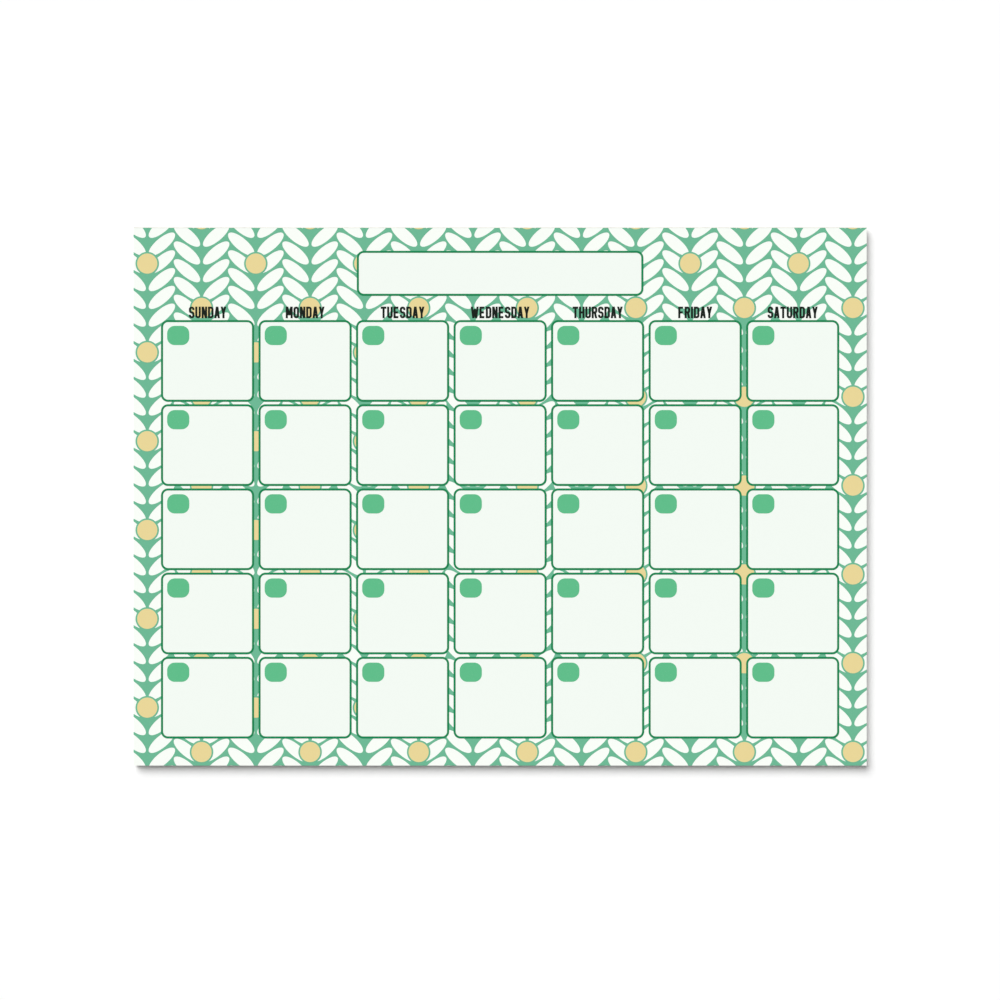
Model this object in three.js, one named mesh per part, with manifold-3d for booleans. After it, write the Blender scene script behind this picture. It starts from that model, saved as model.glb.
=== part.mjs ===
// Monthly planner: an undated tear-off desk pad that lies flat, with its printed page face up.
//
// Millimetres, +Z up. X runs along the long side of the page, and +Y points at its glued top edge.
// The origin is under the middle of the pad, on the surface that it lies on.
// The print is made of thin fields of ink, one on another. Each field is a single body, and what
// lies under it shows through its windows.

import * as THREE from 'three';
import { mergeVertices } from 'three/addons/utils/BufferGeometryUtils.js';
import Module from 'manifold-3d';

const wasm = await Module();
wasm.setup();

// The pad: sheets on a grey board, held by a strip of padding gum along the top edge
const pageWidth = 381.0;
const pageHeight = 279.4;
const sheetCount = 50;
const sheetThickness = 0.1;
const boardThickness = 1.0;
const gumThickness = 0.5;
const inkThickness = 0.04;

// The grid: a row of boxes for each week, and a box for each day
const weekCount = 5;
const dayCount = 7;
const sideMargin = 14.3;
const footMargin = 14.1;
const headHeight = 47.9;
const columnGap = 2.3;
const rowGap = 1.3;
const boxRadius = 3.6;
const outlineWidth = 0.94;

// The tab for the date, in the top left corner of each box
const tabWidth = 11.5;
const tabHeight = 10.0;
const tabRadius = 3.9;
const tabSideInset = 3.2;
const tabTopInset = 3.0;

// The blank title box, in the middle of the page's head
const titleWidth = 148.9;
const titleHeight = 23.4;
const titleDrop = 11.9;
const titleRadius = 3.6;

// The pattern: upright stems with leaves in pairs, and a berry on the stem in each repeat. The
// columns are counted from the middle of one side margin to that of the other, and the repeats
// from the berries under the title box to those in the foot margin.
const patternColumns = 13;
const patternRepeats = 5;
const leafPairs = 5;
const leafGap = 0.85;
const leafSplay = THREE.MathUtils.degToRad(50);
const stemHalfWidth = 1.0;
const tipInterlock = 0.5;
const berryDiameter = 10.5;
const patternMargin = 1.0;
const pageRim = 0.4;

// How finely round outlines are cut: a corner is one facet, which starts at this share of its
// radius from the corner, and a leaf of which less than a share shows is left out
const cornerCut = 0.8;
const leafSegments = 3;
const berrySegments = 12;
const ringSegments = 8;
const leastLeaf = 0.35;

const padThickness = sheetCount * sheetThickness;
const pageLevel = boardThickness + padThickness;
const boxWidth = (pageWidth - 2 * sideMargin - (dayCount - 1) * columnGap) / dayCount;
const boxHeight = (pageHeight - headHeight - footMargin - (weekCount - 1) * rowGap) / weekCount;

const paperFinish = { color: 0xfafef8, roughness: 0.85, metalness: 0 };
const boardFinish = { color: 0x9d968a, roughness: 0.95, metalness: 0 };
const gumFinish = { color: 0xe9e8e0, roughness: 0.35, metalness: 0 };
const greenInk = { color: 0x6ebc97, roughness: 0.6, metalness: 0 };
const darkGreenInk = { color: 0x248050, roughness: 0.6, metalness: 0 };
const mintInk = { color: 0xf3faf3, roughness: 0.65, metalness: 0 };
const strawInk = { color: 0xead79a, roughness: 0.6, metalness: 0 };

// Areas of the page are {left, right, bottom, top}, with the middle of the page at zero.
const page = {
  left: -pageWidth / 2,
  right: pageWidth / 2,
  bottom: -pageHeight / 2,
  top: pageHeight / 2,
};
const titleBox = {
  left: -titleWidth / 2,
  right: titleWidth / 2,
  bottom: page.top - titleDrop - titleHeight,
  top: page.top - titleDrop,
};
const grid = {
  left: page.left + sideMargin,
  right: page.right - sideMargin,
  bottom: page.bottom + footMargin,
  top: page.top - headHeight,
};

function grown(area, amount) {
  return {
    left: area.left - amount,
    right: area.right + amount,
    bottom: area.bottom - amount,
    top: area.top + amount,
  };
}

function dayBoxes() {
  const boxes = [];
  for (let week = 0; week < weekCount; week += 1) {
    for (let day = 0; day < dayCount; day += 1) {
      const left = grid.left + day * (boxWidth + columnGap);
      const top = grid.top - week * (boxHeight + rowGap);
      boxes.push({ left, right: left + boxWidth, bottom: top - boxHeight, top });
    }
  }
  return boxes;
}

function dateTab(box) {
  const left = box.left + tabSideInset;
  const top = box.top - tabTopInset;
  return { left, right: left + tabWidth, bottom: top - tabHeight, top };
}

function rectangle(area) {
  return new THREE.Shape([
    new THREE.Vector2(area.left, area.bottom),
    new THREE.Vector2(area.right, area.bottom),
    new THREE.Vector2(area.right, area.top),
    new THREE.Vector2(area.left, area.top),
  ]);
}

function roundedRectangle(area, radius) {
  const cut = cornerCut * radius;
  return new THREE.Shape([
    new THREE.Vector2(area.left + cut, area.bottom),
    new THREE.Vector2(area.right - cut, area.bottom),
    new THREE.Vector2(area.right, area.bottom + cut),
    new THREE.Vector2(area.right, area.top - cut),
    new THREE.Vector2(area.right - cut, area.top),
    new THREE.Vector2(area.left + cut, area.top),
    new THREE.Vector2(area.left, area.top - cut),
    new THREE.Vector2(area.left, area.bottom + cut),
  ]);
}

function plate(shape, thickness, curveSegments = 1) {
  return new THREE.ExtrudeGeometry(shape, { depth: thickness, bevelEnabled: false, curveSegments });
}

function solidFrom(geometry) {
  const bare = geometry.clone();
  bare.deleteAttribute('normal');
  bare.deleteAttribute('uv');
  const merged = mergeVertices(bare);
  return new wasm.Manifold(new wasm.Mesh({
    numProp: 3,
    vertProperties: new Float32Array(merged.attributes.position.array),
    triVerts: new Uint32Array(merged.index.array),
  }));
}

function geometryFrom(solid) {
  const mesh = solid.getMesh();
  const geometry = new THREE.BufferGeometry();
  geometry.setAttribute('position', new THREE.BufferAttribute(mesh.vertProperties, 3));
  geometry.setIndex(new THREE.BufferAttribute(mesh.triVerts, 1));
  geometry.computeVertexNormals();
  return geometry;
}

function piece(name, geometry, finish, level) {
  const mesh = new THREE.Mesh(geometry, new THREE.MeshStandardMaterial(finish));
  mesh.name = name;
  mesh.position.z = level;
  return mesh;
}

// The leaf pattern. Every second column drops by half a repeat. A berry stands on its stem half a
// pitch above the last pair of leaves of its run, and the leaves near it end at a ring of green
// round it. The leaves are as long and as wide as the columns and their own pitch leave room for.
const headBerryY = (titleBox.bottom + grid.top) / 2;
const footBerryY = page.bottom + footMargin / 2;
const repeatPitch = (headBerryY - footBerryY) / patternRepeats;
const leafPitch = repeatPitch / leafPairs;
const leafWidth = leafPitch * Math.sin(leafSplay) - leafGap;
const outerColumnX = page.right - sideMargin / 2;
const columnPitch = (2 * outerColumnX) / patternColumns;
const leafReach = (columnPitch - leafGap) / 2 + tipInterlock;
const leafLength = (leafReach - stemHalfWidth) / Math.sin(leafSplay);
const berryRise = (leafPairs - 0.5) * leafPitch;

// An oval leaf lies along +X with its stalk end at zero.
function leafOutline() {
  const half = leafLength / 2;
  return new THREE.Shape().absellipse(half, 0, half, leafWidth / 2, 0, 2 * Math.PI);
}

function stemRuns() {
  const runs = [];
  const repeatsAbove = Math.ceil((page.top - headBerryY) / repeatPitch) + 1;
  for (let column = -1; column <= patternColumns + 1; column += 1) {
    const drop = column % 2 === 0 ? repeatPitch / 2 : 0;
    for (let repeat = -repeatsAbove; repeat <= patternRepeats + 1; repeat += 1) {
      const berryY = headBerryY - drop - repeat * repeatPitch;
      runs.push({ x: column * columnPitch - outerColumnX, foot: berryY - berryRise, berryY });
    }
  }
  return runs;
}

function leavesOf(run) {
  const leaves = [];
  for (let pair = 0; pair < leafPairs; pair += 1) {
    for (const side of [-1, 1]) {
      const x = run.x + side * stemHalfWidth;
      const y = run.foot + pair * leafPitch;
      leaves.push({ x, y, turn: Math.PI / 2 - side * leafSplay });
    }
  }
  return leaves;
}

function inside(x, y, area) {
  return x > area.left && x < area.right && y > area.bottom && y < area.top;
}

// Whether a spot of the pattern lies on the page, clear of the grid and the title box
function isOpen(x, y) {
  return inside(x, y, page)
    && !inside(x, y, grown(grid, patternMargin))
    && !inside(x, y, grown(titleBox, patternMargin));
}

// The pad itself

const planner = new THREE.Group();
planner.position.y = -gumThickness / 2;

planner.add(piece('backing_board', plate(rectangle(page), boardThickness), boardFinish, 0));
planner.add(piece('sheet_pad', plate(rectangle(page), padThickness), paperFinish, boardThickness));

const gumArea = { left: page.left, right: page.right, bottom: page.top, top: page.top + gumThickness };
planner.add(piece('gum_strip', plate(rectangle(gumArea), pageLevel), gumFinish, 0));

// The ground of green ink: the white leaves are windows in it. Leaves and berries end short of the
// boxes, and a leaf leaves a hair of green at the edge of the page. The solids that cut them out
// reach above and below the ink.

const cutDepth = 4 * inkThickness;

function block(area) {
  return solidFrom(plate(rectangle(area), cutDepth).translate(0, 0, -inkThickness));
}

function disc(run, radius, segments, depth) {
  const round = new THREE.CylinderGeometry(radius, radius, depth, segments);
  return solidFrom(round.rotateX(Math.PI / 2).translate(run.x, run.berryY, inkThickness / 2));
}

const boxesBlock = block(grown(grid, patternMargin)).add(block(grown(titleBox, patternMargin)));
const berryBlock = block(page).subtract(boxesBlock);
let leafBlock = block(grown(page, -pageRim)).subtract(boxesBlock);
for (const run of stemRuns()) {
  leafBlock = leafBlock.subtract(disc(run, berryDiameter / 2 + leafGap, ringSegments, cutDepth));
}

const leafCutter = plate(leafOutline(), cutDepth, leafSegments).translate(0, 0, -inkThickness);
let ground = solidFrom(plate(rectangle(page), inkThickness));
for (const leaf of stemRuns().flatMap(leavesOf)) {
  const whole = solidFrom(leafCutter.clone().rotateZ(leaf.turn).translate(leaf.x, leaf.y, 0));
  const shown = whole.intersect(leafBlock);
  if (shown.volume() > leastLeaf * whole.volume()) ground = ground.subtract(shown);
}

const print = new THREE.Group();
print.position.z = pageLevel;
planner.add(print);
print.add(piece('ground_print', geometryFrom(ground), greenInk, 0));

const openRuns = stemRuns().filter((run) => isOpen(run.x, run.berryY));
for (const [index, run] of openRuns.entries()) {
  const berry = disc(run, berryDiameter / 2, berrySegments, inkThickness).intersect(berryBlock);
  print.add(piece(`berry_${index + 1}`, geometryFrom(berry), strawInk, inkThickness));
}

// The day boxes: a field of mint tint with a window for each date tab, then the dark outlines,
// then the strips of ground between the boxes

const gridArea = grown(grid, patternMargin);

const dayTint = rectangle(gridArea);
const dayOutlines = rectangle(gridArea);
const gridGaps = rectangle(gridArea);
for (const box of dayBoxes()) {
  const fill = grown(box, -outlineWidth);
  dayTint.holes.push(roundedRectangle(dateTab(box), tabRadius));
  dayOutlines.holes.push(roundedRectangle(fill, boxRadius - outlineWidth));
  gridGaps.holes.push(roundedRectangle(box, boxRadius));
}
print.add(piece('day_tint', plate(dayTint, inkThickness), mintInk, inkThickness));
print.add(piece('day_outlines', plate(dayOutlines, inkThickness), darkGreenInk, 2 * inkThickness));
print.add(piece('grid_gaps', plate(gridGaps, inkThickness), greenInk, 3 * inkThickness));

// The title box: its tint, and its outline as a ring on top

const titleTint = roundedRectangle(titleBox, titleRadius);
const titleOutline = roundedRectangle(titleBox, titleRadius);
const titleFill = grown(titleBox, -outlineWidth);
titleOutline.holes.push(roundedRectangle(titleFill, titleRadius - outlineWidth));
print.add(piece('title_tint', plate(titleTint, inkThickness), mintInk, inkThickness));
print.add(piece('title_outline', plate(titleOutline, inkThickness), darkGreenInk, 2 * inkThickness));

export default planner;
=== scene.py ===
import math
import random

import bpy
from mathutils import Matrix, Vector


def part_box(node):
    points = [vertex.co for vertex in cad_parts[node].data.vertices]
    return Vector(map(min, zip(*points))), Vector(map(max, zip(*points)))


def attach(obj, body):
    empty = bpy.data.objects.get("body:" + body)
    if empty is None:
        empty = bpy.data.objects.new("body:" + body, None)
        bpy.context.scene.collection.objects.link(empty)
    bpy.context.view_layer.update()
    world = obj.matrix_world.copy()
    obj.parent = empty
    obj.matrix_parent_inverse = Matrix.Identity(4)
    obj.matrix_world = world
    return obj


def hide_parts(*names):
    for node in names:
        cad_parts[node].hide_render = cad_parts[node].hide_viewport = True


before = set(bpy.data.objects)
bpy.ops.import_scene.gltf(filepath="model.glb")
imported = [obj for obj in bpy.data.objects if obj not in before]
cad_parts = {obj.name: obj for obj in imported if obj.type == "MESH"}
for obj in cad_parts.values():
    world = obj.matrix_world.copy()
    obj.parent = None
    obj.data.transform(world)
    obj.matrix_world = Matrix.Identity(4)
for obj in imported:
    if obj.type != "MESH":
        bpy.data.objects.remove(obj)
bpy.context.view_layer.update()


# The view. The planner lies flat on a white table and is seen from straight above, with its glued
# edge at the top. The page's edges in the photograph set how wide the frame is and where it stands.
page_low, page_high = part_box("sheet_pad")
page_middle = (page_low + page_high) / 2
page_level = page_high.z

frame_pixels = 1000
page_left_pixel, page_right_pixel = 133.5, 866.7
page_top_pixel, page_foot_pixel = 228.0, 765.5
lens, sensor_width = 85.0, 36.0

pixel = (page_high.x - page_low.x) / (page_right_pixel - page_left_pixel)
view_x = page_middle.x + (frame_pixels - page_left_pixel - page_right_pixel) / 2 * pixel
view_y = page_middle.y - (frame_pixels - page_top_pixel - page_foot_pixel) / 2 * pixel
view_height = page_level + frame_pixels * pixel * lens / sensor_width

bpy.ops.object.select_all(action="DESELECT")
bpy.ops.object.camera_add(location=(view_x, view_y, view_height), rotation=(0, 0, 0))
camera = bpy.context.object
camera.name = "camera"
camera.data.lens = lens
camera.data.sensor_width = sensor_width
camera.data.clip_start = 0.01
camera.data.clip_end = 20
bpy.context.scene.camera = camera
bpy.context.scene.view_settings.view_transform = "Standard"


# The light. A white room gives the even part, and one broad lamp, high up at the top left, gives the
# short soft shadow below the pad and at its right. Together they light the page to 1.
room_share = 0.15
lamp_share = 1 - room_share
lamp_direction = Vector((-0.42, 0.62, 1.0)).normalized()
lamp_width = math.radians(44)

world = bpy.data.worlds.new("white_room")
world.use_nodes = True
bpy.context.scene.world = world
nodes, links = world.node_tree.nodes, world.node_tree.links
ray = nodes.new("ShaderNodeLightPath")
seen_or_mirrored = nodes.new("ShaderNodeMath")
seen_or_mirrored.operation = "MAXIMUM"
links.new(ray.outputs["Is Camera Ray"], seen_or_mirrored.inputs[0])
links.new(ray.outputs["Is Glossy Ray"], seen_or_mirrored.inputs[1])
seen_at_all = nodes.new("ShaderNodeMath")
seen_at_all.operation = "MAXIMUM"
links.new(seen_or_mirrored.outputs[0], seen_at_all.inputs[0])
links.new(ray.outputs["Is Transmission Ray"], seen_at_all.inputs[1])
strength = nodes.new("ShaderNodeMapRange")
strength.inputs["To Min"].default_value = room_share
strength.inputs["To Max"].default_value = 1.0
links.new(seen_at_all.outputs[0], strength.inputs["Value"])
links.new(strength.outputs["Result"], nodes["Background"].inputs["Strength"])
nodes["Background"].inputs["Color"].default_value = (1, 1, 1, 1)

bpy.ops.object.light_add(type="SUN", rotation=lamp_direction.to_track_quat("Z", "Y").to_euler())
lamp = bpy.context.object
lamp.name = "lamp"
lamp.data.angle = lamp_width
lamp.data.energy = lamp_share * math.pi / lamp_direction.z


# The table: a plain white top that takes the shadow and fades into the white room.
table_size = 8.0
table_drop = 0.00005
table_white = 0.96
table_glow = 0.05

bpy.ops.mesh.primitive_plane_add(size=table_size, location=(0, 0, -table_drop))
table = bpy.context.object
table.name = "table"
table_top = bpy.data.materials.new("white_table")
table_top.use_nodes = True
nodes, links = table_top.node_tree.nodes, table_top.node_tree.links
surface = nodes["Principled BSDF"]
surface.inputs["Base Color"].default_value = (table_white, table_white, table_white, 1)
surface.inputs["Roughness"].default_value = 1.0
surface.inputs["Specular IOR Level"].default_value = 0.0
surface.inputs["Emission Color"].default_value = (1, 1, 1, 1)
ray = nodes.new("ShaderNodeLightPath")
glow = nodes.new("ShaderNodeMath")
glow.operation = "MULTIPLY"
glow.inputs[1].default_value = table_glow
links.new(ray.outputs["Is Camera Ray"], glow.inputs[0])
links.new(glow.outputs[0], surface.inputs["Emission Strength"])
table.data.materials.append(table_top)


# Backing board: one piece of grey recycled board, 1 mm thick, guillotined flush with the sheets.
# The blade leaves its edge a little furred. It carries the pad and is bare underneath.
def screen_colour(red, green, blue):
    """A colour as it looks on screen, 0 to 255, as the light values that a shader takes."""
    shares = [channel / 255 for channel in (red, green, blue)]
    light = [s / 12.92 if s <= 0.04045 else ((s + 0.055) / 1.055) ** 2.4 for s in shares]
    return (*light, 1.0)


board_low, board_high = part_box("backing_board")
board_grain = 0.004
board_fur = 0.00008
board_fur_grain = 0.003
board_arris = 0.00012
sharp_edge = math.radians(60)

cloud_scale = 70
tooth_scale = 900
strand_scale = (600, 3400, 2000)
strand_turns = math.radians(24), math.radians(-51)
mean_tone = 1.6
tooth_gloss = 0.12

board_grey = screen_colour(157, 150, 138)
fleck_scale = 420
fleck_reach = 0.16
fleck_contrast = 0.35
ply_scale = (25, 25, 6500)
ply_contrast = 0.18
board_relief = 0.00006


def effect_group(name, inputs, outputs):
    """A shader node group with named sockets, and its ends."""
    group = bpy.data.node_groups.new(name, "ShaderNodeTree")
    for label, kind, value in inputs:
        socket = group.interface.new_socket(label, in_out="INPUT", socket_type=kind)
        socket.default_value = value
    for label, kind in outputs:
        group.interface.new_socket(label, in_out="OUTPUT", socket_type=kind)
    return group, group.nodes.new("NodeGroupInput"), group.nodes.new("NodeGroupOutput")


def noise_node(tree, vector, scale, detail, roughness=0.5):
    """Cloudy noise of this scale over a place, as a value around 0.5."""
    noise = tree.nodes.new("ShaderNodeTexNoise")
    noise.inputs["Scale"].default_value = scale
    noise.inputs["Detail"].default_value = detail
    noise.inputs["Roughness"].default_value = roughness
    tree.links.new(vector, noise.inputs["Vector"])
    return noise.outputs["Fac"]


def stretched(tree, vector, scale, turn=0.0):
    """A place turned about Z, with its own scale along each axis."""
    mapping = tree.nodes.new("ShaderNodeMapping")
    mapping.inputs["Scale"].default_value = scale
    mapping.inputs["Rotation"].default_value = (0, 0, turn)
    tree.links.new(vector, mapping.inputs["Vector"])
    return mapping.outputs["Vector"]


def sums(tree, operation, first, second):
    """One Math node. A number is set on its socket, and anything else is linked to it."""
    node = tree.nodes.new("ShaderNodeMath")
    node.operation = operation
    for socket, value in zip(node.inputs, (first, second)):
        if isinstance(value, (int, float)):
            socket.default_value = value
        else:
            tree.links.new(value, socket)
    return node.outputs[0]


def shaded(tree, colour, shade):
    """A colour made lighter or darker by a value around 1."""
    node = tree.nodes.new("ShaderNodeVectorMath")
    node.operation = "SCALE"
    tree.links.new(colour, node.inputs[0])
    tree.links.new(shade, node.inputs["Scale"])
    return node.outputs["Vector"]


def fibre_group():
    """Felted fibres of paper and board: cloudy shade, short crossed strands and a fine tooth."""
    group, start, end = effect_group(
        "felted_fibre",
        [
            ("Colour", "NodeSocketColor", (1, 1, 1, 1)),
            ("Mottle", "NodeSocketFloat", 0.02),
            ("Roughness", "NodeSocketFloat", 0.85),
            ("Fibre Size", "NodeSocketFloat", 1.0),
        ],
        [
            ("Colour", "NodeSocketColor"),
            ("Roughness", "NodeSocketFloat"),
            ("Height", "NodeSocketFloat"),
        ],
    )
    place = group.nodes.new("ShaderNodeTexCoord").outputs["Object"]
    sized = group.nodes.new("ShaderNodeVectorMath")
    sized.operation = "SCALE"
    group.links.new(place, sized.inputs[0])
    group.links.new(sums(group, "DIVIDE", 1.0, start.outputs["Fibre Size"]), sized.inputs["Scale"])
    place = sized.outputs["Vector"]
    cloud = noise_node(group, place, cloud_scale, 3, 0.6)
    tooth = noise_node(group, place, tooth_scale, 4, 0.6)
    runs = [stretched(group, place, strand_scale, turn) for turn in strand_turns]
    strands = sums(group, "MAXIMUM", *[noise_node(group, run, 1, 2) for run in runs])
    tone = sums(group, "ADD", cloud, sums(group, "ADD", tooth, strands))
    tone = sums(group, "SUBTRACT", tone, mean_tone)
    shade = sums(group, "ADD", 1.0, sums(group, "MULTIPLY", tone, start.outputs["Mottle"]))
    group.links.new(shaded(group, start.outputs["Colour"], shade), end.inputs["Colour"])
    gloss = sums(group, "MULTIPLY", sums(group, "SUBTRACT", tooth, 0.5), tooth_gloss)
    group.links.new(sums(group, "ADD", start.outputs["Roughness"], gloss), end.inputs["Roughness"])
    group.links.new(sums(group, "ADD", strands, tooth), end.inputs["Height"])
    return group


def placed_group(material, group, **values):
    """Places a node group in a material, with these values on its sockets."""
    node = material.node_tree.nodes.new("ShaderNodeGroup")
    node.node_tree = group
    for label, value in values.items():
        node.inputs[label.replace("_", " ")].default_value = value
    return node


def matt_material(name, specular=0.08):
    """A new material whose sheen is as weak as this."""
    material = bpy.data.materials.new(name)
    material.use_nodes = True
    material.node_tree.nodes["Principled BSDF"].inputs["Specular IOR Level"].default_value = specular
    return material


def dressed(material, colour, roughness, height, depth):
    """Feeds a material's shader, with its relief this deep in metres."""
    tree = material.node_tree
    surface = tree.nodes["Principled BSDF"]
    tree.links.new(colour, surface.inputs["Base Color"])
    tree.links.new(roughness, surface.inputs["Roughness"])
    bump = tree.nodes.new("ShaderNodeBump")
    bump.inputs["Strength"].default_value = 0.6
    bump.inputs["Distance"].default_value = depth
    tree.links.new(height, bump.inputs["Height"])
    tree.links.new(bump.outputs["Normal"], surface.inputs["Normal"])
    return material


felted_fibre = fibre_group()


def greyboard_material():
    """Recycled grey board: coarse fibres, pale and dark flecks, and plies along its cut edge."""
    material = matt_material("recycled_greyboard", specular=0.1)
    tree = material.node_tree
    fibre = placed_group(
        material, felted_fibre,
        Colour=board_grey, Mottle=0.22, Roughness=0.92, Fibre_Size=1.8,
    )
    place = tree.nodes.new("ShaderNodeTexCoord").outputs["Object"]
    flecks = tree.nodes.new("ShaderNodeTexVoronoi")
    flecks.inputs["Scale"].default_value = fleck_scale
    tree.links.new(place, flecks.inputs["Vector"])
    near_fleck = sums(tree, "LESS_THAN", flecks.outputs["Distance"], fleck_reach)
    fleck_tone = tree.nodes.new("ShaderNodeSeparateColor")
    tree.links.new(flecks.outputs["Color"], fleck_tone.inputs["Color"])
    fleck_shade = sums(tree, "SUBTRACT", fleck_tone.outputs["Red"], 0.6)
    plies = noise_node(tree, stretched(tree, place, ply_scale), 1, 2)
    ply_shade = sums(tree, "MULTIPLY", sums(tree, "SUBTRACT", plies, 0.5), ply_contrast)
    fleck_shade = sums(tree, "MULTIPLY", near_fleck, fleck_shade)
    fleck_shade = sums(tree, "MULTIPLY", fleck_shade, fleck_contrast)
    shade = sums(tree, "ADD", 1.0, sums(tree, "ADD", fleck_shade, ply_shade))
    colour = shaded(tree, fibre.outputs["Colour"], shade)
    outputs = fibre.outputs
    return dressed(material, colour, outputs["Roughness"], outputs["Height"], board_relief)


def pushed_in(piece, depth, grain, chosen):
    """Wears a piece's chosen points in along their normals, by up to this depth, unevenly."""
    group = piece.vertex_groups.new(name="worn")
    group.add([v.index for v in piece.data.vertices if chosen(v)], 1.0, "REPLACE")
    wear = bpy.data.textures.new(piece.name + "_wear", type="CLOUDS")
    wear.noise_scale = grain
    wear.noise_depth = 2
    displace = piece.modifiers.new("wear", "DISPLACE")
    displace.texture = wear
    displace.texture_coords = "LOCAL"
    displace.vertex_group = group.name
    displace.mid_level = 1.0
    displace.strength = depth
    bpy.ops.object.modifier_apply(modifier="wear")
    piece.vertex_groups.clear()


board_size = board_high - board_low
bpy.ops.object.select_all(action="DESELECT")
bpy.ops.mesh.primitive_grid_add(
    x_subdivisions=round(board_size.x / board_grain),
    y_subdivisions=round(board_size.y / board_grain),
    size=1,
    location=(page_middle.x, page_middle.y, board_low.z),
)
greyboard = bpy.context.object
greyboard.name = "greyboard"
greyboard.scale = (board_size.x, board_size.y, 1)
bpy.ops.object.transform_apply(location=True, rotation=False, scale=True)
bpy.ops.object.mode_set(mode="EDIT")
bpy.ops.mesh.select_all(action="SELECT")
bpy.ops.mesh.extrude_region_move(TRANSFORM_OT_translate={"value": (0, 0, board_size.z)})
bpy.ops.mesh.select_all(action="SELECT")
bpy.ops.mesh.normals_make_consistent(inside=False)
bpy.ops.object.mode_set(mode="OBJECT")
greyboard_rim = greyboard.modifiers.new("rim", "BEVEL")
greyboard_rim.width = board_arris
greyboard_rim.segments = 2
greyboard_rim.angle_limit = sharp_edge
bpy.ops.object.modifier_apply(modifier="rim")
pushed_in(
    greyboard, board_fur, board_fur_grain,
    lambda v: abs(v.co.x - page_middle.x) > board_size.x / 2 - board_arris
    or abs(v.co.y - page_middle.y) > board_size.y / 2 - board_arris,
)
greyboard.data.materials.append(greyboard_material())
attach(greyboard, "root")
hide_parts("backing_board")


# Sheets: fifty sheets of white writing paper, knocked up square and guillotined as one block.
# Each sheet shows as its own line along the cut sides, and the top one carries the print.
sheet_count = 50
sheet_height = (page_high.z - page_low.z) / sheet_count
sheet_gap = 0.00004
sheet_slip = 0.00012
sheet_rise = 0.2
sheet_side = 0.6
flat_face = 0.99
paper_white = screen_colour(250, 254, 248)
paper_relief = 0.00002

side_white = screen_colour(238, 240, 233)
sheet_line_scale = (9, 9, 5200)
bundle_scale = (3, 3, 900)
sheet_line_contrast = 0.22
sheet_line_height = 4.0
side_relief = 0.00003


def paper_material():
    """Uncoated white writing paper: matt, with a faint tooth and a cloudy look."""
    material = matt_material("writing_paper")
    fibre = placed_group(
        material, felted_fibre, Colour=paper_white, Mottle=0.018, Roughness=0.86, Fibre_Size=1.0
    )
    outputs = fibre.outputs
    colour, roughness, height = (outputs[end] for end in ("Colour", "Roughness", "Height"))
    return dressed(material, colour, roughness, height, paper_relief)


def cut_sheets_material():
    """The cut side of the stack: fine lines of light and shade, one for each sheet, in streaks."""
    material = matt_material("cut_sheets", specular=0.1)
    tree = material.node_tree
    fibre = placed_group(
        material, felted_fibre,
        Colour=side_white, Mottle=0.04, Roughness=0.92, Fibre_Size=1.0,
    )
    place = tree.nodes.new("ShaderNodeTexCoord").outputs["Object"]
    lines = noise_node(tree, stretched(tree, place, sheet_line_scale), 1, 3, 0.7)
    bundles = noise_node(tree, stretched(tree, place, bundle_scale), 1, 1)
    tone = sums(tree, "SUBTRACT", sums(tree, "ADD", lines, bundles), 1.0)
    shade = sums(tree, "ADD", 1.0, sums(tree, "MULTIPLY", tone, sheet_line_contrast))
    colour = shaded(tree, fibre.outputs["Colour"], shade)
    height = sums(tree, "MULTIPLY", lines, sheet_line_height)
    height = sums(tree, "ADD", fibre.outputs["Height"], height)
    return dressed(material, colour, fibre.outputs["Roughness"], height, side_relief)


paper = paper_material()
page_size = page_high - page_low
bpy.ops.object.select_all(action="DESELECT")
bpy.ops.mesh.primitive_plane_add(size=1, location=(page_middle.x, page_middle.y, page_low.z))
sheet_stack = bpy.context.object
sheet_stack.name = "sheet_stack"
sheet_stack.scale = (page_size.x, page_size.y, 1)
bpy.ops.object.transform_apply(location=True, rotation=False, scale=True)


def next_ring(rise, margin):
    """Extrudes the top of the stack up to a ring that stands this far inside the page's edge."""
    ring = [v.co for v in sheet_stack.data.vertices if v.select]
    width = max(p.x for p in ring) - min(p.x for p in ring)
    depth = max(p.y for p in ring) - min(p.y for p in ring)
    spread = ((page_size.x - 2 * margin) / width, (page_size.y - 2 * margin) / depth, 1)
    bpy.ops.object.mode_set(mode="EDIT")
    bpy.ops.mesh.extrude_region_move(TRANSFORM_OT_translate={"value": (0, 0, rise)})
    bpy.ops.transform.resize(value=spread, center_override=page_middle)
    bpy.ops.object.mode_set(mode="OBJECT")


slips = random.Random(11)
for sheet in range(sheet_count):
    is_top = sheet == sheet_count - 1
    slip = 0.0 if is_top else sheet_slip * slips.random() ** 2
    next_ring(sheet_rise * sheet_height, slip)
    next_ring(sheet_side * sheet_height, slip)
    next_ring(sheet_rise * sheet_height, 0.0 if is_top else slip + sheet_gap)
bpy.ops.object.mode_set(mode="EDIT")
bpy.ops.mesh.select_all(action="SELECT")
bpy.ops.mesh.normals_make_consistent(inside=False)
bpy.ops.object.mode_set(mode="OBJECT")
sheet_stack.data.materials.append(paper)
sheet_stack.data.materials.append(cut_sheets_material())
for face in sheet_stack.data.polygons:
    face.material_index = 0 if abs(face.normal.z) > flat_face else 1
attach(sheet_stack, "root")
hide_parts("sheet_pad")


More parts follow.
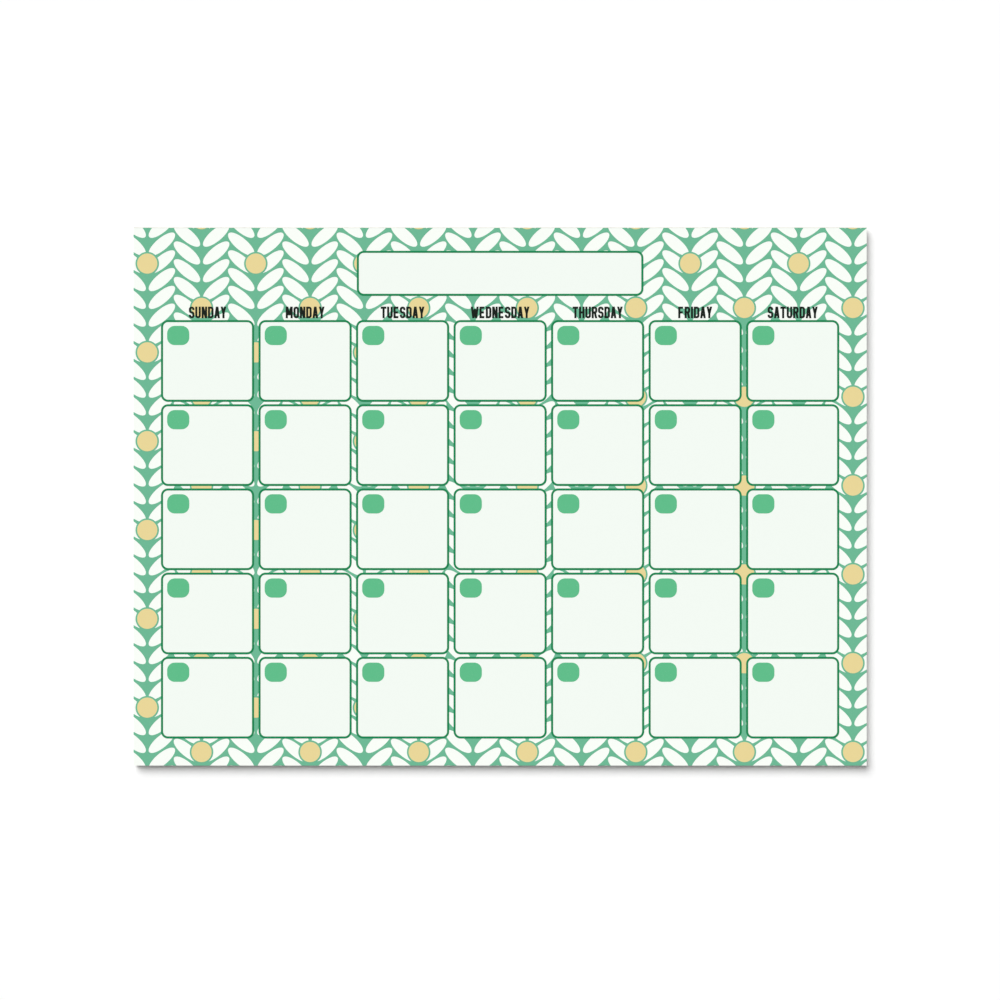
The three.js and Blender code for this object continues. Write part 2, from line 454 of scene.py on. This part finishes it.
# Padding gum: two coats of white gum, brushed along the top edge while the stack was clamped. It
# dries to a soft skin with brush marks, and holds sheets and board together.
gum_low, gum_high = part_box("gum_strip")
gum_size = gum_high - gum_low
gum_middle = (gum_low + gum_high) / 2
gum_cuts = 380
gum_rows = 7
gum_unevenness = 0.0003
gum_unevenness_grain = 0.004
gum_edge = 0.0002
gum_smoothing = math.radians(50)
gum_white = screen_colour(233, 232, 224)
brush_scale = (60, 60, 2600)
blot_scale = 160
gum_contrast = 0.12
gum_gloss, gum_gloss_spread = 0.34, 0.2
gum_relief = 0.00012


def gum_material():
    """Dried padding gum: off-white and satin, with long brush marks along the edge."""
    material = matt_material("padding_gum", specular=0.5)
    tree = material.node_tree
    place = tree.nodes.new("ShaderNodeTexCoord").outputs["Object"]
    strokes = noise_node(tree, stretched(tree, place, brush_scale), 1, 4, 0.6)
    blots = noise_node(tree, place, blot_scale, 2)
    colour = tree.nodes.new("ShaderNodeRGB")
    colour.outputs[0].default_value = gum_white
    tone = sums(tree, "SUBTRACT", sums(tree, "ADD", strokes, blots), 1.0)
    shade = sums(tree, "ADD", 1.0, sums(tree, "MULTIPLY", tone, gum_contrast))
    gloss = sums(tree, "ADD", gum_gloss, sums(tree, "MULTIPLY", blots, gum_gloss_spread))
    return dressed(material, shaded(tree, colour.outputs[0], shade), gloss, strokes, gum_relief)


bpy.ops.object.select_all(action="DESELECT")
bpy.ops.mesh.primitive_grid_add(
    x_subdivisions=gum_cuts, y_subdivisions=gum_rows, size=1, rotation=(math.pi / 2, 0, 0),
    location=(gum_middle.x, gum_low.y, gum_middle.z),
)
padding_gum = bpy.context.object
padding_gum.name = "padding_gum"
padding_gum.scale = (gum_size.x, gum_size.z, 1)
bpy.ops.object.transform_apply(location=True, rotation=True, scale=True)
bpy.ops.object.mode_set(mode="EDIT")
bpy.ops.mesh.select_all(action="SELECT")
bpy.ops.mesh.extrude_region_move(TRANSFORM_OT_translate={"value": (0, gum_size.y, 0)})
bpy.ops.mesh.select_all(action="SELECT")
bpy.ops.mesh.normals_make_consistent(inside=False)
bpy.ops.object.mode_set(mode="OBJECT")
gum_rim = padding_gum.modifiers.new("rim", "BEVEL")
gum_rim.width = gum_edge
gum_rim.segments = 3
gum_rim.angle_limit = sharp_edge
bpy.ops.object.modifier_apply(modifier="rim")
pushed_in(
    padding_gum, gum_unevenness, gum_unevenness_grain,
    lambda v: v.co.y > gum_high.y - gum_edge / 2,
)
bpy.ops.object.shade_smooth_by_angle(angle=gum_smoothing)
padding_gum.data.materials.append(gum_material())
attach(padding_gum, "root")
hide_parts("gum_strip")


# Green ink: the ground of the printed pattern, one flat colour that bleeds off all four edges. Its
# leaves are windows, in pairs up straight stems, through which the white paper shows.
ink_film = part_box("ground_print")[1].z - page_level
pattern_margin = 0.001
outline_width = 0.00108
box_radius = 0.0036
title_radius = 0.0036
week_count, day_count = 5, 7
column_gap, row_gap = 0.0023, 0.0013
corner_segments = 8

pattern_columns, pattern_repeats = 13, 5
leaf_pairs = 5
leaf_gap = 0.00085
leaf_splay = math.radians(50)
stem_half_width = 0.001
tip_interlock = 0.0005
berry_diameter = 0.0105
berry_seat = 0.5
leaf_points = 40
berry_points = 56
page_bleed_corner = 0.00005

title_low, title_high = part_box("title_tint")
grid_low, grid_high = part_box("day_outlines")
grid_low = grid_low + Vector((pattern_margin, pattern_margin, 0))
grid_high = grid_high - Vector((pattern_margin, pattern_margin, 0))

box_width = (grid_high.x - grid_low.x - (day_count - 1) * column_gap) / day_count
box_height = (grid_high.y - grid_low.y - (week_count - 1) * row_gap) / week_count
first_box_low = Vector((grid_low.x, grid_high.y - box_height))
first_box_high = Vector((grid_low.x + box_width, grid_high.y))

head_berry_y = (title_low.y + grid_high.y) / 2
foot_berry_y = (page_low.y + grid_low.y) / 2
repeat_pitch = (head_berry_y - foot_berry_y) / pattern_repeats
outer_column_x = (page_high.x + grid_high.x) / 2
column_pitch = 2 * outer_column_x / pattern_columns
leaf_pitch = repeat_pitch / leaf_pairs
leaf_width = leaf_pitch * math.sin(leaf_splay) - leaf_gap
leaf_reach = (column_pitch - leaf_gap) / 2 + tip_interlock
leaf_length = (leaf_reach - stem_half_width) / math.sin(leaf_splay)
berry_rise = (leaf_pairs - 1 + berry_seat) * leaf_pitch

ink_mottle_scale = 380
pore_scale = 2400
pore_limit = 0.68
pore_thinness = 3.0
ink_roughness, ink_roughness_spread = 0.58, 0.2
ink_relief = 0.00001
field_thinness = 0.02
line_thinness = 0.008


def ink_group():
    """Ink laid on felted paper: a film that is thin on the high fibres, with fine pores."""
    group, start, end = effect_group(
        "laid_ink",
        [
            ("Ink", "NodeSocketColor", (0, 0, 0, 1)),
            ("Paper", "NodeSocketColor", (1, 1, 1, 1)),
            ("Thinness", "NodeSocketFloat", 0.04),
        ],
        [
            ("Colour", "NodeSocketColor"),
            ("Roughness", "NodeSocketFloat"),
            ("Height", "NodeSocketFloat"),
        ],
    )
    place = group.nodes.new("ShaderNodeTexCoord").outputs["Object"]
    mottle = noise_node(group, place, ink_mottle_scale, 4, 0.65)
    pores = noise_node(group, place, pore_scale, 2)
    open_pores = sums(group, "GREATER_THAN", pores, pore_limit)
    thin = sums(group, "ADD", mottle, sums(group, "MULTIPLY", open_pores, pore_thinness))
    thin = sums(group, "MULTIPLY", thin, start.outputs["Thinness"])
    mix = group.nodes.new("ShaderNodeMix")
    mix.data_type = "RGBA"
    group.links.new(thin, mix.inputs["Factor"])
    group.links.new(start.outputs["Ink"], mix.inputs["A"])
    group.links.new(start.outputs["Paper"], mix.inputs["B"])
    group.links.new(mix.outputs["Result"], end.inputs["Colour"])
    roughness = sums(group, "MULTIPLY", mottle, ink_roughness_spread)
    group.links.new(sums(group, "ADD", ink_roughness, roughness), end.inputs["Roughness"])
    group.links.new(sums(group, "SUBTRACT", mottle, open_pores), end.inputs["Height"])
    return group


laid_ink = ink_group()


def ink_material(name, colour, thinness=field_thinness):
    """Matt offset ink in one colour."""
    material = matt_material(name)
    ink = placed_group(material, laid_ink, Ink=colour, Paper=paper_white, Thinness=thinness)
    outputs = ink.outputs
    colour, roughness, height = (outputs[end] for end in ("Colour", "Roughness", "Height"))
    return dressed(material, colour, roughness, height, ink_relief)


def alone(piece):
    """Makes a piece the one selected, ready for an operator."""
    bpy.ops.object.select_all(action="DESELECT")
    piece.select_set(True)
    bpy.context.view_layer.objects.active = piece


def applied(piece, name, kind, **settings):
    """Gives a piece a modifier with these settings, and applies it."""
    alone(piece)
    modifier = piece.modifiers.new(name, kind)
    for setting, value in settings.items():
        setattr(modifier, setting, value)
    bpy.ops.object.modifier_apply(modifier=name)


def rounded_field(name, low, high, radius, segments=corner_segments):
    """A flat field from corner to corner of an area, with round corners."""
    bpy.ops.object.select_all(action="DESELECT")
    bpy.ops.mesh.primitive_plane_add(
        size=1, location=((low.x + high.x) / 2, (low.y + high.y) / 2, page_level)
    )
    field = bpy.context.object
    field.name = name
    field.scale = (high.x - low.x, high.y - low.y, 1)
    bpy.ops.object.transform_apply(location=True, rotation=False, scale=True)
    bpy.ops.object.mode_set(mode="EDIT")
    bpy.ops.mesh.select_all(action="SELECT")
    bpy.ops.mesh.bevel(offset=radius, segments=segments, affect="VERTICES")
    bpy.ops.object.mode_set(mode="OBJECT")
    return field


def narrowed(field, margin, keep):
    """Insets a field by a margin, and keeps its middle or the ring round it."""
    alone(field)
    bpy.ops.object.mode_set(mode="EDIT")
    bpy.ops.mesh.select_all(action="SELECT")
    bpy.ops.mesh.inset(thickness=margin)
    if keep == "middle":
        bpy.ops.mesh.select_all(action="INVERT")
    bpy.ops.mesh.delete(type="FACE")
    bpy.ops.object.mode_set(mode="OBJECT")


def filmed(field, bottom, top):
    """Makes a flat field a closed film between two heights above the page, counted in ink films."""
    alone(field)
    bpy.ops.object.mode_set(mode="EDIT")
    bpy.ops.mesh.select_all(action="SELECT")
    bpy.ops.transform.translate(value=(0, 0, bottom * ink_film))
    bpy.ops.object.mode_set(mode="OBJECT")
    applied(field, "film", "SOLIDIFY", thickness=(top - bottom) * ink_film, offset=1)


def over_all_days(field):
    """Repeats what is drawn on the first box over every day of every week."""
    steps = {"use_relative_offset": False, "use_constant_offset": True}
    day_step = (box_width + column_gap, 0, 0)
    week_step = (0, -(box_height + row_gap), 0)
    applied(field, "days", "ARRAY", count=day_count, constant_offset_displace=day_step, **steps)
    applied(field, "weeks", "ARRAY", count=week_count, constant_offset_displace=week_step, **steps)


def joined(name, pieces):
    """Joins pieces into one mesh under this name."""
    bpy.ops.object.select_all(action="DESELECT")
    for piece in pieces:
        piece.select_set(True)
    bpy.context.view_layer.objects.active = pieces[0]
    bpy.ops.object.join()
    whole = bpy.context.object
    whole.name = name
    return whole


def own_copy(piece, x, y):
    """A copy with its own mesh, moved this far over the page."""
    copy = piece.copy()
    copy.data = piece.data.copy()
    copy.data.transform(Matrix.Translation((x, y, 0)))
    bpy.context.collection.objects.link(copy)
    return copy


def cut(piece, tool, operation):
    """Cuts a closed piece with another one, and drops the tool."""
    applied(piece, "cut", "BOOLEAN", object=tool, operation=operation, solver="MANIFOLD")
    bpy.data.objects.remove(tool)
    piece.data.materials.clear()


def box_blocks():
    """A block over each day box and the title box, out to the middle of its outline."""
    half_line = Vector((outline_width, outline_width)) / 2
    days = rounded_field(
        "day_block", first_box_low + half_line, first_box_high - half_line, box_radius - half_line.x
    )
    filmed(days, -4, 8)
    over_all_days(days)
    title = rounded_field(
        "title_block", title_low.xy + half_line, title_high.xy - half_line, title_radius - half_line.x
    )
    filmed(title, -4, 8)
    return joined("box_blocks", [days, title])


def one_leaf():
    """An oval leaf along +X, with its stalk end at zero."""
    bpy.ops.object.select_all(action="DESELECT")
    bpy.ops.mesh.primitive_circle_add(
        vertices=leaf_points, radius=leaf_length / 2, fill_type="NGON",
        location=(leaf_length / 2, 0, page_level),
    )
    leaf = bpy.context.object
    leaf.name = "leaf"
    leaf.scale = (1, leaf_width / leaf_length, 1)
    bpy.ops.object.transform_apply(location=True, rotation=False, scale=True)
    return leaf


def leaf_run(leaf):
    """The leaves of one repeat, in pairs up both sides of a stem whose foot is at zero."""
    leaves = []
    for pair in range(leaf_pairs):
        for side in (-1, 1):
            turned = own_copy(leaf, 0, 0)
            turned.data.transform(Matrix.Rotation(math.pi / 2 - side * leaf_splay, 4, "Z"))
            turned.data.transform(Matrix.Translation((side * stem_half_width, pair * leaf_pitch, 0)))
            leaves.append(turned)
    bpy.data.objects.remove(leaf)
    return joined("leaf_run", leaves)


def berry_places():
    """Where the berries stand. Every second column drops by half a repeat."""
    places = []
    repeats_above = math.ceil((page_high.y - head_berry_y) / repeat_pitch)
    for column in range(-1, pattern_columns + 2):
        x = page_middle.x - outer_column_x + column * column_pitch
        drop = repeat_pitch / 2 if column % 2 == 0 else 0
        for repeat in range(-repeats_above - 1, pattern_repeats + 2):
            places.append((x, head_berry_y - drop - repeat * repeat_pitch))
    return places


def all_berries(name, margin):
    """A round field at each berry's place, this much larger than the berry all round."""
    bpy.ops.object.select_all(action="DESELECT")
    bpy.ops.mesh.primitive_circle_add(
        vertices=berry_points, radius=berry_diameter / 2 + margin, fill_type="NGON",
        location=(0, 0, page_level),
    )
    berry = bpy.context.object
    bpy.ops.object.transform_apply(location=True, rotation=False, scale=False)
    berries = joined(name, [own_copy(berry, x, y) for x, y in berry_places()])
    bpy.data.objects.remove(berry)
    return berries


run = leaf_run(one_leaf())
leaf_windows = joined("leaf_windows", [own_copy(run, x, y - berry_rise) for x, y in berry_places()])
bpy.data.objects.remove(run)
filmed(leaf_windows, -2, 4)
berry_rings = all_berries("berry_rings", leaf_gap)
filmed(berry_rings, -4, 8)
cut(leaf_windows, berry_rings, "DIFFERENCE")
cut(leaf_windows, box_blocks(), "DIFFERENCE")

ground_ink = rounded_field("ground_ink", page_low.xy, page_high.xy, page_bleed_corner, 1)
filmed(ground_ink, 0, 1)
cut(ground_ink, leaf_windows, "DIFFERENCE")
ground_ink.data.materials.append(ink_material("green_ink", screen_colour(106, 183, 147)))
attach(ground_ink, "root")
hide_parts("ground_print", "grid_gaps")


# Straw ink: round berries on the stems, each with a thin green ring round it. Where a box or the
# page's edge is in the way, the rest of the berry still shows beside it.
def page_block():
    """A block over the whole page, which cuts off what would stand past its edge."""
    block = rounded_field("page_block", page_low.xy, page_high.xy, page_bleed_corner, 1)
    filmed(block, -8, 16)
    return block


berry_ink = all_berries("berry_ink", 0)
filmed(berry_ink, 1, 2)
cut(berry_ink, box_blocks(), "DIFFERENCE")
cut(berry_ink, page_block(), "INTERSECT")
berry_ink.data.materials.append(ink_material("straw_ink", screen_colour(233, 214, 151)))
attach(berry_ink, "root")
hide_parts(*[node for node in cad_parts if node.startswith("berry_")])


# Mint tint: the pale fields to write in, one for each day and a long one for the title. They are
# printed as a light tint and end under the middle of their outlines.
tint_thinness = 0.1
mint = ink_material("mint_tint", screen_colour(243, 250, 243), tint_thinness)

day_fill = rounded_field("day_fill", first_box_low, first_box_high, box_radius)
narrowed(day_fill, outline_width / 2, "middle")
filmed(day_fill, 1, 2)
over_all_days(day_fill)
day_fill.data.materials.append(mint)
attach(day_fill, "root")
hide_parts("day_tint")

title_fill = rounded_field("title_fill", title_low.xy, title_high.xy, title_radius)
narrowed(title_fill, outline_width / 2, "middle")
filmed(title_fill, 1, 2)
title_fill.data.materials.append(mint)
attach(title_fill, "root")
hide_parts("title_tint")


# Dark green ink: a line of even width round each box, with round corners.
dark_green = ink_material("dark_green_ink", screen_colour(17, 130, 79), line_thinness)

day_outlines = rounded_field("day_outline", first_box_low, first_box_high, box_radius)
narrowed(day_outlines, outline_width, "ring")
filmed(day_outlines, 1, 3)
over_all_days(day_outlines)
day_outlines.data.materials.append(dark_green)
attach(day_outlines, "root")
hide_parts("day_outlines")

title_outline = rounded_field("title_line", title_low.xy, title_high.xy, title_radius)
narrowed(title_outline, outline_width, "ring")
filmed(title_outline, 1, 3)
title_outline.data.materials.append(dark_green)
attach(title_outline, "root")
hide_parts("title_outline")


# Date tabs: a blank green tab in the top left corner of each box, for the date to be written on.
tab_width, tab_height = 0.0115, 0.010
tab_radius = 0.0039
tab_side_inset, tab_top_inset = 0.0032, 0.003

tab_high = Vector((first_box_low.x + tab_side_inset + tab_width, first_box_high.y - tab_top_inset))
tab_low = tab_high - Vector((tab_width, tab_height))
date_tabs = rounded_field("date_tabs", tab_low, tab_high, tab_radius)
filmed(date_tabs, 2, 3)
over_all_days(date_tabs)
date_tabs.data.materials.append(ink_material("tab_ink", screen_colour(92, 188, 136)))
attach(date_tabs, "root")


# Headings: the plain names of the days over the seven columns, printed in black over the pattern.
# They are narrow block capitals built of strokes of one even width. A place on a letter is given as
# x, from 0 in the middle of its left stroke to 1 in its right one, and y, in shares of its height.
cap_height = 0.006
heading_lift = 0.001
stroke = 0.00108
bend_radius = 0.00078
bend_segments = 6
weld = 0.000002
black_thinness = 0.006
letter_gap = 0.00042
usual_width = 0.00288
letter_widths = {"I": stroke, "M": 0.0036, "W": 0.00408}
foot, head, waist = stroke / 2 / cap_height, 1 - stroke / 2 / cap_height, 0.5

day_names = ("SUNDAY", "MONDAY", "TUESDAY", "WEDNESDAY", "THURSDAY", "FRIDAY", "SATURDAY")

straight_strokes = {
    "A": [(0.2, 0.28, 0.8, 0.28)],
    "D": [(0, 0, 0, 1)],
    "E": [(0, 0, 0, 1), (0, foot, 1.1, foot), (0, waist, 1, waist), (0, head, 1.1, head)],
    "F": [(0, 0, 0, 1), (0, waist, 1, waist), (0, head, 1.1, head)],
    "H": [(0, 0, 0, 1), (1, 0, 1, 1), (0, waist, 1, waist)],
    "I": [(0, 0, 0, 1)],
    "M": [(0, 0, 0, 1), (1, 0, 1, 1)],
    "N": [(0, 0, 0, 1), (1, 0, 1, 1)],
    "R": [(0, 0, 0, 1)],
    "T": [(-0.3, head, 1.3, head), (0.5, 0, 0.5, head)],
    "Y": [(0.5, 0, 0.5, waist)],
}
sloping_strokes = {
    "A": [(0, 0, 0.44, 1), (1, 0, 0.56, 1)],
    "M": [(0.47, 0.25, 0.08, 1), (0.53, 0.25, 0.92, 1)],
    "N": [(0.92, 0, 0.08, 1)],
    "R": [(1, 0, 0.62, waist)],
    "W": [(0.25, 0, 0, 1), (0.27, 0, 0.48, 0.8), (0.73, 0, 0.52, 0.8), (0.75, 0, 1, 1)],
    "Y": [(0.5, 0.4, 0, 1), (0.5, 0.4, 1, 1)],
}
bent_strokes = {
    "D": [(0, head), (1, head), (1, foot), (0, foot)],
    "O": [(0.5, foot), (0, foot), (0, head), (1, head), (1, foot), (0.5, foot)],
    "R": [(0, head), (1, head), (1, waist), (0, waist)],
    "S": [
        (1, 0.7), (1, head), (0, head), (0, waist), (1, waist), (1, foot), (0, foot), (0, 0.3),
    ],
    "U": [(0, 1), (0, foot), (1, foot), (1, 1)],
}


def on_letter(x, y, width):
    """A place on a letter of this width, from its left foot."""
    return Vector((stroke / 2 + x * (width - stroke), y * cap_height))


def picked(field, chosen):
    """Selects the points of a field that pass a test, with the edges between them."""
    points = field.data.vertices
    for part in (*points, *field.data.edges, *field.data.polygons):
        part.select = False
    for point in points:
        point.select = chosen(point.co.xy)
    for edge in field.data.edges:
        edge.select = all(points[n].select for n in edge.vertices)


def upright_field(middle, width, height):
    """A flat field of a stroke, square to the page."""
    bpy.ops.object.select_all(action="DESELECT")
    bpy.ops.mesh.primitive_plane_add(size=1, location=(*middle, page_level))
    field = bpy.context.object
    field.scale = (width, height, 1)
    bpy.ops.object.transform_apply(location=True, rotation=False, scale=True)
    return field


def straight_stroke(start, end):
    """A stroke that runs level or upright."""
    run = end - start
    return upright_field((start + end) / 2, abs(run.x) or stroke, abs(run.y) or stroke)


def sloping_stroke(lower, upper):
    """A sloping stroke with both ends cut level. Its upper end is moved aside."""
    run = upper - lower
    middle = Vector((lower.x, (lower.y + upper.y) / 2))
    field = upright_field(middle, stroke * run.length / run.y, run.y)
    picked(field, lambda place: place.y > middle.y)
    bpy.ops.object.mode_set(mode="EDIT")
    bpy.ops.transform.translate(value=(run.x, 0, 0))
    bpy.ops.object.mode_set(mode="OBJECT")
    return field


def bent_stroke(places):
    """A stroke that is spun through a round bend at each inner place and drawn on to the next."""
    ways = [(after - before).normalized() for before, after in zip(places, places[1:])]
    field = straight_stroke(places[0], places[1] - ways[0] * bend_radius)
    last = len(ways) - 1
    for n in range(1, len(ways)):
        corner, back, on = places[n], ways[n - 1], ways[n]
        end = corner - back * bend_radius
        picked(field, lambda place: (place - end).length < 0.51 * stroke)
        middle = corner + (on - back) * bend_radius
        angle = math.copysign(math.pi / 2, back.x * on.y - back.y * on.x)
        room = (places[n + 1] - corner).length - bend_radius * (1 if n == last else 2)
        bpy.ops.object.mode_set(mode="EDIT")
        bpy.ops.mesh.spin(
            steps=bend_segments, angle=-angle, center=(*middle, page_level), axis=(0, 0, 1)
        )
        bpy.ops.mesh.extrude_region_move(TRANSFORM_OT_translate={"value": (*(on * room), 0)})
        bpy.ops.object.mode_set(mode="OBJECT")
    bpy.ops.object.mode_set(mode="EDIT")
    bpy.ops.mesh.select_all(action="SELECT")
    bpy.ops.mesh.remove_doubles(threshold=weld)
    bpy.ops.mesh.normals_make_consistent(inside=False)
    if field.data.polygons[0].normal.z < 0:
        bpy.ops.mesh.flip_normals()
    bpy.ops.object.mode_set(mode="OBJECT")
    return field


def letter_form(letter):
    """A letter with its left foot at zero."""
    width = letter_widths.get(letter, usual_width)
    fields = []
    for shape, strokes in (
        (straight_stroke, straight_strokes), (sloping_stroke, sloping_strokes),
    ):
        for x, y, end_x, end_y in strokes.get(letter, []):
            fields.append(shape(on_letter(x, y, width), on_letter(end_x, end_y, width)))
    if letter in bent_strokes:
        fields.append(bent_stroke([on_letter(x, y, width) for x, y in bent_strokes[letter]]))
    for field in fields:
        filmed(field, 1, 3)
    form, *others = fields
    for other in others:
        cut(form, other, "UNION")
    alone(form)
    bpy.ops.object.mode_set(mode="EDIT")
    bpy.ops.mesh.select_all(action="SELECT")
    bpy.ops.mesh.remove_doubles(threshold=weld)
    bpy.ops.mesh.dissolve_degenerate(threshold=weld)
    bpy.ops.object.mode_set(mode="OBJECT")
    return form


letter_forms = {letter: letter_form(letter) for letter in sorted(set("".join(day_names)))}
letters = []
for day, name in enumerate(day_names):
    widths = [letter_widths.get(letter, usual_width) for letter in name]
    length = sum(widths) + letter_gap * (len(name) - 1)
    x = first_box_low.x + box_width / 2 + day * (box_width + column_gap) - length / 2
    for letter, width in zip(name, widths):
        letters.append(own_copy(letter_forms[letter], x, grid_high.y + heading_lift))
        x += width + letter_gap
for form in letter_forms.values():
    bpy.data.objects.remove(form)
day_headings = joined("day_headings", letters)
day_headings.data.materials.append(ink_material("black_ink", screen_colour(5, 16, 8), black_thinness))
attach(day_headings, "root")
